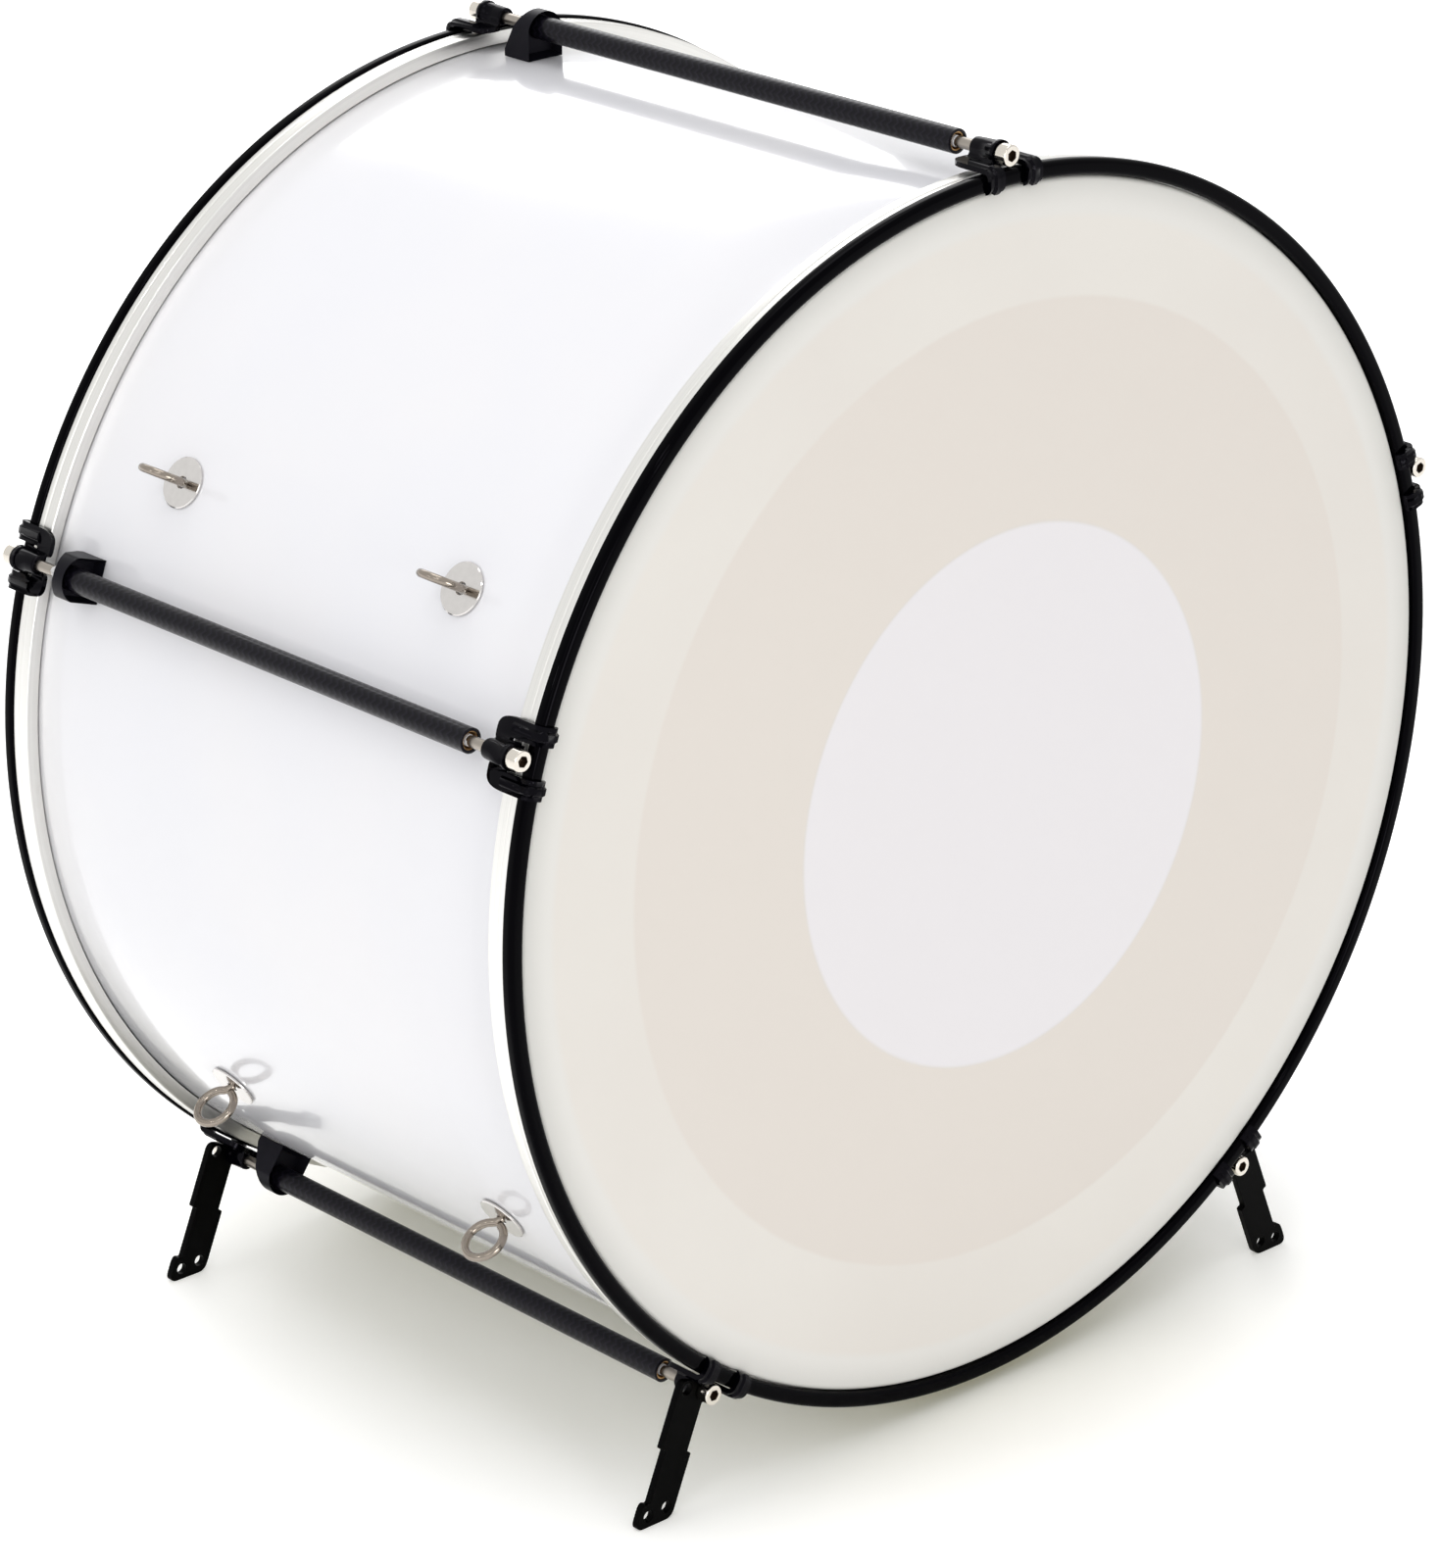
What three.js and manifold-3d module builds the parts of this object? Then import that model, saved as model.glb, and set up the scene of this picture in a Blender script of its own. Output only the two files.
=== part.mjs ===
// A marching bass drum: a white shell with a head at each end. Each head sits in a metal ring,
// and a black hoop pulls the ring down. Five tension sets join the two hoops, the lowest two
// carry fold-away feet, and four eye bolts for a harness stand on one side.
// Millimetres, +Z up. The drum's axis lies along Y and the front head faces -Y. The origin is
// on the floor, under the middle of the drum.
import * as THREE from 'three';
import { mergeVertices } from 'three/addons/utils/BufferGeometryUtils.js';
import Module from 'manifold-3d';

const wasm = await Module();
wasm.setup();

// Clearances
const fit = 0.3; // between two pieces that touch
const running = 0.1; // round a shank that turns
const overrun = 2; // what a cutter stands proud of the piece that it cuts

// Shell: a lacquered wooden tube, sharpened at both ends where the heads bear on it
const shellRadius = 328;
const shellWall = 7;
const shellDepth = 406.4;
const crestWidth = 1;
const innerCut = 1.5;
const roundSides = 90; // sides of each big circle, so that a corner falls on every tension set

// Heads: a thin film with a collar that turns out into the groove of its metal ring
const filmThickness = 0.35;
const flangeWidth = 2.2;
const ringStand = 8.5; // from the shell out to the ring's outer face
const ringHeight = 11.3;
const ringDrop = 4.5; // from the crest of the shell down to the ring
const grooveRise = 3.4; // from the ring's lower face up to its groove

// Hoops
const hoopStand = 10; // from the shell out to the hoop's outer edge
const hoopWidth = 8.8;
const hoopHeight = 7.4;
const hoopCorner = 3;

// Tension sets
const setNames = ['top', 'left', 'low_left', 'low_right', 'right'];
const firstSetAngle = 90; // degrees up from +X, as seen from the front

// Claws: a plate over the hoop, two hooks round it, and a barrel for the screw
const clawGap = 0.4;
const clawThickness = 2.8;
const clawWidth = 36.8;
const clawReach = 27.3;
const notchWidth = 9;
const notchDepth = 5;
const lobeCorner = 12;
const lobeInnerCorner = 4;
const hookWidth = 10;
const hookCorner = 5.2;
const hookDepth = 10.4; // from the hoop's outer edge in to the tip of the hook
const lipReach = 1.8; // from the hoop's face back to the tip
const lipThickness = 0.8;
const ribWidth = 4.2;
const ribHeight = 1.1;
const ribLength = 15.5;
const slitReach = 17; // from the hoop's face back to the end of the slit beside the barrel
const barrelRadius = 6.1;
const barrelTailShare = 0.87; // of that radius, at the barrel's inner end
const barrelRise = 3.5; // from the plate up to the screw's axis
const barrelReach = 26.2;
const barrelSides = 6; // over its arch
const collarRadius = 6.8;
const collarLength = 2.6;

// Socket screws
const shankRadius = 3.1;
const shankLength = 55;
const headRadius = 5.65;
const headLength = 7.3;
const headSetback = 8.2; // from the hoop's face in to the seat of the head
const headChamfer = 0.7;
const socketRadius = 2.9;
const socketDepth = 4.2;
const screwSides = 12;

// Rods: a patterned sleeve over a threaded core tube, held in a spacer block near the rear
const sleeveRadius = 6.6;
const sleeveWall = 2;
const sleeveGap = 36.2; // from the front crest back to the sleeve
const coreRecess = 0.6;
const coreStub = 1.4; // how far the core stands past the sleeve, into the block
const sleeveSides = 16;

// Spacer blocks
const blockWidth = 24;
const blockLength = 20;
const blockTopLength = 8;
const blockHeel = 4; // height of its upright back, under the slope
const blockSetback = 35.2; // from the rear crest to the block
const blockShoulder = 0.9; // from the screw's axis up to where the block's arch starts
const archSides = 10;
const blockWall = 3; // over the sleeve
const blockFloor = 2.4; // behind the sleeve's end

// Feet: a stepped plate with a round ear at each end
const footThickness = 4.2;
const footDrop = 65.7; // from the screw's axis down to the floor
const footLean = 22.5; // degrees
const footHead = 4.6; // from the screw's axis up to the edge that rests on the claw's rib
const footEdge = 18.2; // from the screw's axis to the outer edge
const footInset = 1; // from the screw's axis to the inner edge
const footJog = 3;
const footStep = 33.8;
const earRadius = 6.3;
const heelOut = 39.2; // from the screw's axis out to the heel's hole
const footCorner = 5;
const stepCorner = 1.2;
const footHoleRadius = 3.2;
const spareHoleOut = 12.6;
const toeHoleOut = 2.3;
const toeHoleDown = 64.2;

// Eye bolts, each with a washer outside the shell and a nut inside it
const wireRadius = 2.25;
const eyeRadius = 11;
const eyeStand = 4.8; // from the shell to the middle of the wire at the neck
const eyeFrontAt = -114; // the upper pair's places along the drum, from its middle
const eyeRearAt = 107.9;
const eyeLowerShift = -6.5; // from the upper pair to the lower pair, along the drum
const eyeUpperAngle = 150.75;
const eyeLowerAngle = 214.1;
const washerRadius = 14;
const washerThickness = 1.5;
const washerHoleRadius = 3.1;
const nutRadius = 4.6;
const nutHeight = 4;
const shankEnd = 2; // of the wire past the nut
const neckRiseShares = [1.5, 1.2, 0.97, 0.88]; // of the eye's radius, below the eye's middle
const neckOutShares = [0, 0, 0.18, 0.5]; // of the eye's radius, to the rear
const eyeFromAngle = 57;
const eyeToAngle = 331;
const eyeSteps = 11;

// Places that follow from the sizes
const crest = shellDepth / 2;
const innerRadius = shellRadius - shellWall;
const innerFlat = innerRadius * Math.cos(Math.PI / roundSides); // to the middle of a flat
const nutSeat = innerFlat - shellRadius - fit - nutHeight;
const crestInner = innerRadius + innerCut;
const crestOuter = crestInner + crestWidth;
const ringRadius = shellRadius + ringStand;
const hoopRadius = shellRadius + hoopStand;
const crestSlope = shellRadius - crestOuter;
const ringTop = crest - ringDrop;
const ringBottom = ringTop - ringHeight;
const grooveAt = ringBottom + grooveRise;
const hoopFace = ringTop + fit + hoopHeight;
const clawTop = clawGap + clawThickness;
const screwRise = clawTop + barrelRise;
const screwCircle = hoopRadius + screwRise;
const footSeat = headSetback + fit + footThickness;
const setStep = 360 / setNames.length;
const lowSetAngle = THREE.MathUtils.degToRad(firstSetAngle + 2 * setStep);
const axleHeight = footDrop - screwCircle * Math.sin(lowSetAngle);

const colour = (hex, roughness, metalness) =>
  new THREE.MeshStandardMaterial({ color: hex, roughness, metalness });
const whiteLacquer = colour(0xf2f2f4, 0.12, 0);
const creamFilm = colour(0xeceadf, 0.5, 0);
const brushedRing = colour(0xc9c8c2, 0.38, 1);
const blackEnamel = colour(0x0b0b0e, 0.2, 0);
const polishedSteel = colour(0xcfcdc8, 0.2, 1);
const wovenSleeve = colour(0x1b1b20, 0.22, 0);
const brassCore = colour(0xb98a55, 0.35, 1);
const blackPlastic = colour(0x14141a, 0.5, 0);
const blackSteel = colour(0x08080a, 0.35, 0);

// A closed geometry with shared corners merged and empty triangles left out
function welded(geometry) {
  const bare = new THREE.BufferGeometry();
  bare.setAttribute('position', geometry.getAttribute('position').clone());
  if (geometry.index) bare.setIndex(geometry.index.clone());
  const merged = mergeVertices(bare, 0.0001);
  const kept = [];
  for (let i = 0; i < merged.index.count; i += 3) {
    const [a, b, c] = [0, 1, 2].map((k) => merged.index.getX(i + k));
    if (a !== b && b !== c && c !== a) kept.push(a, b, c);
  }
  merged.setIndex(kept);
  return merged;
}

function solid(geometry) {
  const merged = welded(geometry);
  return new wasm.Manifold(new wasm.Mesh({
    numProp: 3,
    vertProperties: new Float32Array(merged.attributes.position.array),
    triVerts: new Uint32Array(merged.index.array),
  }));
}

function geometryOf(body) {
  const mesh = body.getMesh();
  const geometry = new THREE.BufferGeometry();
  geometry.setAttribute('position', new THREE.BufferAttribute(mesh.vertProperties, 3));
  geometry.setIndex(new THREE.BufferAttribute(mesh.triVerts, 1));
  return geometry;
}

// Turns a profile of [radius, along] points about the Y axis
function turned(points, sides) {
  return new THREE.LatheGeometry(points.map(([r, y]) => new THREE.Vector2(r, y)), sides);
}

// The radius of a polygon whose flats clear a round piece of radius r
const clearing = (r, sides) => r / Math.cos(Math.PI / sides);

// A round bar along Y from one place to another
function bar(radius, from, to, sides) {
  return turned([[0, from], [radius, from], [radius, to], [0, to]], sides);
}

// A closed outline through [x, y, corner radius] points
function outline(corners) {
  const at = (i) => corners[(i + corners.length) % corners.length];
  const shape = new THREE.Shape();
  corners.forEach(([x, y, r = 0], i) => {
    const toward = ([px, py]) => {
      const span = Math.hypot(px - x, py - y);
      const back = Math.min(r, span / 2) / span;
      return [x + (px - x) * back, y + (py - y) * back];
    };
    const start = toward(at(i - 1));
    if (i === 0) shape.moveTo(...start);
    else shape.lineTo(...start);
    if (r) shape.quadraticCurveTo(x, y, ...toward(at(i + 1)));
  });
  shape.closePath();
  return shape;
}

function roundHole(x, y, radius, sides = screwSides) {
  const points = Array.from({ length: sides }, (_, i) => {
    const angle = (2 * Math.PI * i) / sides;
    return new THREE.Vector2(x + radius * Math.cos(angle), y + radius * Math.sin(angle));
  });
  return new THREE.Path(points);
}

const extruded = (shape, depth, curveSegments = 2) =>
  new THREE.ExtrudeGeometry(shape, { depth, curveSegments, bevelEnabled: false });

// An outline in X and Z made thick along Y, between two places
function acrossY(shape, from, to, curveSegments) {
  return extruded(shape, to - from, curveSegments).rotateX(Math.PI / 2).translate(0, to, 0);
}

// An outline in Y and Z made thick along X, between two places
function acrossX(shape, from, to) {
  return extruded(shape, to - from)
    .applyMatrix4(new THREE.Matrix4().set(0, 0, 1, from, 1, 0, 0, 0, 0, 1, 0, 0, 0, 0, 0, 1));
}

function piece(name, geometry, material) {
  const mesh = new THREE.Mesh(welded(geometry), material);
  mesh.name = name;
  return mesh;
}

// A frame on the drum: Y along the drum, Z out from its axis at the angle
function aroundAxis(degrees) {
  const frame = new THREE.Group();
  frame.rotation.y = THREE.MathUtils.degToRad(90 - degrees);
  return frame;
}

function shellGeometry(eyeFrames) {
  const low = crest - crestSlope;
  const inside = crest - innerCut;
  let body = solid(turned([
    [innerRadius, -inside], [crestInner, -crest], [crestOuter, -crest], [shellRadius, -low],
    [shellRadius, low], [crestOuter, crest], [crestInner, crest], [innerRadius, inside],
    [innerRadius, -inside],
  ], roundSides));
  for (const { degrees, along } of eyeFrames) {
    const hole = bar(wireRadius + fit, innerRadius - overrun, shellRadius + overrun, screwSides)
      .rotateX(Math.PI / 2).translate(0, along, 0)
      .rotateY(THREE.MathUtils.degToRad(90 - degrees));
    body = body.subtract(solid(hole));
  }
  return geometryOf(body);
}

// The film lies clear of the shell by one fit, and its outer face by that and its thickness
function filmGeometry() {
  const outer = fit + filmThickness;
  const bend = Math.tan(Math.PI / 8);
  const collar = shellRadius + fit;
  const shoulder = crest - crestSlope;
  return turned([
    [0, crest + fit], [crestOuter + fit * bend, crest + fit],
    [collar, shoulder + fit * bend], [collar, grooveAt],
    [collar + flangeWidth, grooveAt], [collar + flangeWidth, grooveAt + filmThickness],
    [shellRadius + outer, grooveAt + filmThickness], [shellRadius + outer, shoulder + outer * bend],
    [crestOuter + outer * bend, crest + outer], [0, crest + outer],
  ], roundSides);
}

function fleshRingGeometry() {
  const bore = shellRadius + fit + filmThickness + fit;
  const grooveRadius = shellRadius + fit + flangeWidth + fit;
  const grooveTop = grooveAt + filmThickness + fit;
  return turned([
    [bore, ringBottom], [ringRadius, ringBottom], [ringRadius, ringTop], [bore, ringTop],
    [bore, grooveTop], [grooveRadius, grooveTop], [grooveRadius, grooveAt - fit],
    [bore, grooveAt - fit], [bore, ringBottom],
  ], roundSides);
}

function hoopGeometry() {
  const bore = hoopRadius - hoopWidth;
  const back = hoopFace - hoopHeight;
  const c = hoopCorner;
  return turned([
    [bore + c, back], [hoopRadius - c, back], [hoopRadius, back + c], [hoopRadius, hoopFace - c],
    [hoopRadius - c, hoopFace], [bore + c, hoopFace], [bore, hoopFace - c], [bore, back + c],
    [bore + c, back],
  ], roundSides);
}

// Claws and screws are drawn where Y is 0 on the hoop's face and grows outward, and Z is 0 on
// the hoop's outer edge.
function clawGeometry(barrelFront) {
  const side = clawWidth / 2;
  const mouth = side - hookWidth;
  const notch = notchWidth / 2;
  const plate = extruded(outline([
    [-side, 0], [-mouth, 0], [-mouth, -slitReach], [-barrelRadius, -slitReach],
    [-barrelRadius, barrelFront], [barrelRadius, barrelFront], [barrelRadius, -slitReach],
    [mouth, -slitReach], [mouth, 0], [side, 0],
    [side, -clawReach, lobeCorner], [notch, -clawReach, lobeInnerCorner],
    [notch, notchDepth - clawReach], [-notch, notchDepth - clawReach],
    [-notch, -clawReach, lobeInnerCorner], [-side, -clawReach, lobeCorner],
  ]), clawThickness).translate(0, 0, clawGap);

  // The hook's inside keeps to the hoop's front and to its cut corner, which a flat of the
  // hoop brings lower beside the middle of the claw
  const front = clawGap + clawThickness;
  const sag = side * Math.tan(Math.PI / roundSides);
  const turnIn = -hoopWidth + hoopCorner - sag - fit;
  const hookShape = outline([
    [-hookCorner, clawTop], [front, clawTop, hookCorner], [front, -hookDepth, hookCorner],
    [-lipReach, -hookDepth], [-lipReach, lipThickness - hookDepth], [clawGap, turnIn],
    [clawGap, clawGap], [-hookCorner, clawGap],
  ]);
  const ribTop = clawTop + ribHeight;
  const ribFront = front + ribHeight;
  const core = clawGap + clawThickness / 2;
  const ribShape = outline([
    [-ribLength, core], [-ribLength, clawTop], [ribHeight - ribLength, ribTop],
    [ribFront, ribTop, hookCorner + ribHeight], [ribFront, -hookDepth, hookCorner],
    [core, -hookDepth], [core, core],
  ]);
  const arch = new THREE.Shape();
  arch.moveTo(-barrelRadius, core);
  arch.lineTo(barrelRadius, core);
  for (let i = 0; i <= barrelSides; i += 1) {
    const angle = (Math.PI * i) / barrelSides;
    arch.lineTo(barrelRadius * Math.cos(angle), screwRise + barrelRadius * Math.sin(angle));
  }
  arch.closePath();
  const barrel = narrowed(acrossY(arch, -barrelReach, barrelFront), -barrelReach);

  let body = solid(plate).add(solid(barrel));
  for (const way of [-1, 1]) {
    const middle = way * (side - hookWidth / 2);
    body = body.add(solid(acrossX(hookShape, middle - hookWidth / 2, middle + hookWidth / 2)));
    body = body.add(solid(acrossX(ribShape, middle - ribWidth / 2, middle + ribWidth / 2)));
  }
  if (barrelFront > -footSeat) {
    const collar = bar(collarRadius, barrelFront - collarLength, barrelFront, screwSides);
    body = body.add(solid(collar.translate(0, 0, screwRise)));
  }
  const bore = bar(clearing(shankRadius + running, screwSides), -barrelReach - overrun,
    barrelFront + overrun, screwSides).translate(0, 0, screwRise);
  return geometryOf(body.subtract(solid(bore)));
}

// Draws a barrel's far end in towards the screw's axis
function narrowed(geometry, tail) {
  const at = geometry.getAttribute('position');
  for (let i = 0; i < at.count; i += 1) {
    if (Math.abs(at.getY(i) - tail) < fit) {
      at.setX(i, at.getX(i) * barrelTailShare);
      const over = Math.max(at.getZ(i) - screwRise, 0);
      at.setZ(i, at.getZ(i) - over * (1 - barrelTailShare));
    }
  }
  return geometry;
}

function screwGeometry() {
  const top = headLength - headSetback;
  const body = solid(turned([
    [0, -headSetback - shankLength], [shankRadius, -headSetback - shankLength],
    [shankRadius, -headSetback], [headRadius, -headSetback], [headRadius, top - headChamfer],
    [headRadius - headChamfer, top], [0, top],
  ], screwSides));
  const socket = solid(bar(socketRadius, top - socketDepth, top + overrun, 6));
  return geometryOf(body.subtract(socket));
}

// Rods and blocks are drawn on the drum's own axes, for a tension set at the top
const sleeveFrom = -crest + sleeveGap;
const blockRear = crest - blockSetback;
const blockFront = blockRear - blockLength;
const blockTopRear = blockFront + blockTopLength;
const blockCrown = screwCircle + sleeveRadius + blockWall;
const blockShare = (screwCircle - shellRadius - blockHeel) / (blockCrown - shellRadius - blockHeel);
const sleeveTo = blockRear - (blockRear - blockTopRear) * blockShare - blockFloor;

function tubeGeometry(radius, wall, from, to, sides) {
  const bore = radius - wall;
  return turned([[bore, from], [radius, from], [radius, to], [bore, to], [bore, from]], sides);
}

function coreGeometry() {
  const radius = sleeveRadius - sleeveWall - fit;
  const bore = clearing(shankRadius + running, screwSides);
  return tubeGeometry(radius, radius - bore, sleeveFrom + coreRecess, sleeveTo + coreStub, screwSides);
}

function blockGeometry() {
  const half = blockWidth / 2;
  const shoulder = screwCircle + blockShoulder;
  const heelTop = shellRadius + blockHeel;
  const sunk = shellRadius - overrun;
  const rise = blockCrown - shoulder;
  const archRadius = (half * half + rise * rise) / (2 * rise);
  const archHalf = Math.asin(half / archRadius);
  const face = new THREE.Shape();
  face.moveTo(-half, sunk);
  face.lineTo(half, sunk);
  for (let i = 0; i <= archSides; i += 1) {
    const angle = archHalf * (1 - (2 * i) / archSides);
    face.lineTo(archRadius * Math.sin(angle), blockCrown - archRadius * (1 - Math.cos(angle)));
  }
  face.closePath();
  const flank = outline([
    [blockFront, sunk], [blockRear, sunk], [blockRear, heelTop],
    [blockTopRear, blockCrown + fit], [blockFront, blockCrown + fit],
  ]);
  const body = solid(acrossY(face, blockFront - overrun, blockRear + overrun, 4))
    .intersect(solid(acrossX(flank, -half - overrun, half + overrun)));
  const seat = turned([[0, blockFront - overrun], [shellRadius + fit, blockFront - overrun],
    [shellRadius + fit, blockRear + overrun], [0, blockRear + overrun]], roundSides);
  const socket = bar(clearing(sleeveRadius + fit, sleeveSides), blockFront - overrun,
    sleeveTo + fit, sleeveSides).translate(0, 0, screwCircle);
  const passage = bar(clearing(sleeveRadius - sleeveWall, screwSides), blockFront,
    blockRear + overrun, screwSides).translate(0, 0, screwCircle);
  return geometryOf(body.subtract(solid(seat)).subtract(solid(socket)).subtract(solid(passage)));
}

// The foot's outline is drawn from the screw's axis: across the leg and down it, leaning out
function footGeometry(way) {
  const lean = THREE.MathUtils.degToRad(footLean);
  const place = (out, down) => [
    way * (down * Math.sin(lean) + out * Math.cos(lean)),
    out * Math.sin(lean) - down * Math.cos(lean),
  ];
  const corner = (out, down, r) => [...place(out, down), r];
  const heelDown = footDrop - earRadius;
  const heelAcross = heelOut * Math.cos(lean) - heelDown * Math.sin(lean);
  const heelAlong = heelOut * Math.sin(lean) + heelDown * Math.cos(lean);
  const onFloor = (out) => (footDrop + out * Math.sin(lean)) / Math.cos(lean);
  const inner = -footInset - footJog;
  const outer = heelAcross + earRadius;
  const shape = outline([
    corner(-earRadius, -footHead, footCorner), corner(footEdge, -footHead, footCorner),
    corner(footEdge, footStep, stepCorner), corner(footEdge - footJog, footStep, stepCorner),
    corner(footEdge - footJog, heelAlong - earRadius, stepCorner),
    corner(outer, heelAlong - earRadius, footCorner), corner(outer, onFloor(outer), earRadius),
    corner(inner, onFloor(inner), footCorner), corner(inner, footStep, stepCorner),
    corner(-footInset, footStep, stepCorner), corner(-footInset, earRadius, stepCorner),
    corner(-earRadius, earRadius, footCorner),
  ]);
  shape.holes.push(roundHole(0, 0, clearing(shankRadius + running, screwSides)));
  const holes = [place(spareHoleOut, 0), place(heelAcross, heelAlong), place(toeHoleOut, toeHoleDown)];
  for (const [x, y] of holes) shape.holes.push(roundHole(x, y, footHoleRadius));
  return acrossY(shape, 0, footThickness, 3);
}

// An eye bolt's wire, in the frame of its hole: Z out from the shell, Y to the rear
function eyeGeometry() {
  const middle = eyeStand + eyeRadius;
  const points = [[0, nutSeat - shankEnd], [0, -shellWall]];
  neckRiseShares.forEach((share, i) => {
    points.push([neckOutShares[i] * eyeRadius, middle - share * eyeRadius]);
  });
  for (let i = 0; i <= eyeSteps; i += 1) {
    const angle = THREE.MathUtils.degToRad(
      eyeFromAngle + ((eyeToAngle - eyeFromAngle) * i) / eyeSteps);
    points.push([eyeRadius * Math.sin(angle), middle - eyeRadius * Math.cos(angle)]);
  }
  const path = new THREE.CatmullRomCurve3(points.map(([y, z]) => new THREE.Vector3(0, y, z)));
  const section = new THREE.Shape().absarc(0, 0, wireRadius, 0, 2 * Math.PI);
  return new THREE.ExtrudeGeometry(section, { steps: 24, curveSegments: 4, extrudePath: path });
}

function nutGeometry() {
  const shape = new THREE.Shape(roundHole(0, 0, nutRadius, 6).getPoints());
  shape.holes.push(roundHole(0, 0, wireRadius + fit));
  return extruded(shape, nutHeight);
}

const drum = new THREE.Group();
drum.position.z = axleHeight;

const eyes = [
  { name: 'front_upper', degrees: eyeUpperAngle, along: eyeFrontAt },
  { name: 'rear_upper', degrees: eyeUpperAngle, along: eyeRearAt },
  { name: 'front_lower', degrees: eyeLowerAngle, along: eyeFrontAt + eyeLowerShift },
  { name: 'rear_lower', degrees: eyeLowerAngle, along: eyeRearAt + eyeLowerShift },
];
drum.add(piece('shell', shellGeometry(eyes), whiteLacquer));

for (const end of ['front', 'rear']) {
  const cap = new THREE.Group();
  cap.rotation.z = end === 'front' ? Math.PI : 0;
  cap.add(piece(`head_${end}`, filmGeometry(), creamFilm));
  cap.add(piece(`flesh_ring_${end}`, fleshRingGeometry(), brushedRing));
  cap.add(piece(`hoop_${end}`, hoopGeometry(), blackEnamel));
  drum.add(cap);
}

setNames.forEach((name, i) => {
  const frame = aroundAxis(firstSetAngle + i * setStep);
  const onFoot = name.startsWith('low');
  for (const end of ['front', 'rear']) {
    const station = new THREE.Group();
    station.rotation.z = end === 'front' ? Math.PI : 0;
    station.position.set(0, end === 'front' ? -hoopFace : hoopFace, hoopRadius);
    const barrelFront = -fit - (onFoot ? footSeat : headSetback);
    station.add(piece(`claw_${end}_${name}`, clawGeometry(barrelFront), blackEnamel));
    const screw = piece(`screw_${end}_${name}`, screwGeometry(), polishedSteel);
    screw.position.z = screwRise;
    station.add(screw);
    frame.add(station);
  }
  const sleeve = tubeGeometry(sleeveRadius, sleeveWall, sleeveFrom, sleeveTo, sleeveSides);
  const tube = piece(`rod_sleeve_${name}`, sleeve, wovenSleeve);
  const core = piece(`rod_core_${name}`, coreGeometry(), brassCore);
  tube.position.z = screwCircle;
  core.position.z = screwCircle;
  frame.add(tube, core, piece(`spacer_block_${name}`, blockGeometry(), blackPlastic));
  drum.add(frame);
});

for (const end of ['front', 'rear']) {
  for (const [side, way] of [['left', -1], ['right', 1]]) {
    const foot = piece(`foot_${end}_${side}`, footGeometry(way), blackSteel);
    const seat = hoopFace - footSeat;
    foot.position.set(-way * screwCircle * Math.cos(lowSetAngle),
      end === 'front' ? -seat - footThickness : seat, screwCircle * Math.sin(lowSetAngle));
    drum.add(foot);
  }
}

for (const { name, degrees, along } of eyes) {
  const frame = aroundAxis(degrees);
  const station = new THREE.Group();
  station.position.set(0, along, shellRadius);
  station.add(piece(`eye_bolt_${name}`, eyeGeometry(), polishedSteel));
  const washer = piece(`eye_washer_${name}`, tubeGeometry(washerRadius,
    washerRadius - washerHoleRadius, 0, washerThickness, sleeveSides), polishedSteel);
  washer.rotation.x = Math.PI / 2;
  washer.position.z = fit;
  const nut = piece(`eye_nut_${name}`, nutGeometry(), polishedSteel);
  nut.position.z = nutSeat;
  station.add(washer, nut);
  frame.add(station);
  drum.add(frame);
}

const model = new THREE.Group();
model.add(drum);
export default model;
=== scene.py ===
# %% [markdown]
# # A marching bass drum
# This file dresses a plain solid model of a drum for a picture. The solid model says where
# every part is. Here each part gets the shape and finish that the eye expects: a lacquered
# shell, coated heads, enamelled hoops, pressed claws, sleeved rods and bright screws.
# Everything is in metres, with Z up. The drum's axis lies along Y, and the front head faces -Y.

# %% Load the solid model
from math import cos, pi, radians, sin, sqrt

import bmesh
import bpy
from mathutils import Matrix, Vector


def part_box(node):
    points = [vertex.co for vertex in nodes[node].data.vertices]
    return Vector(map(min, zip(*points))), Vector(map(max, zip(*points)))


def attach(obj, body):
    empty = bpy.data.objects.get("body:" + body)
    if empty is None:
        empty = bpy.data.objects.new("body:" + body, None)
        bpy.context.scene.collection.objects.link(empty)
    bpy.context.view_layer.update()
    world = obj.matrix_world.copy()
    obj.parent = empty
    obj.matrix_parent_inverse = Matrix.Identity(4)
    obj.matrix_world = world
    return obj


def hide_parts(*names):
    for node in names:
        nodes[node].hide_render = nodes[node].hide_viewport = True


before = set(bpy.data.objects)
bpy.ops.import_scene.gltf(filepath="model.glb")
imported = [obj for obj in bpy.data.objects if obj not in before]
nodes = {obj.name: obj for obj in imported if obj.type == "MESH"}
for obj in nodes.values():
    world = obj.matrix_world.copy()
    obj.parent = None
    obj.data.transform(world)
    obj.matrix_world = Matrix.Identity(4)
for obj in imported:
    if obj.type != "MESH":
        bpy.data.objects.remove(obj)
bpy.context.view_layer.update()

# %% [markdown]
# ## Camera
# The photograph was taken from the left of the drum and a little above it, with a long lens,
# so that the two ends of the drum look almost equally big. A long lens from far away gives
# that flat look. A short lens close by would make the front hoop look much too large. The
# place and the turn of the camera were measured once, and are written here as numbers.

# %% Place the camera
lens_pixels = 5850.31  # the lens's length, in pixels of a picture 1600 high
long_side = 1600

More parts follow.
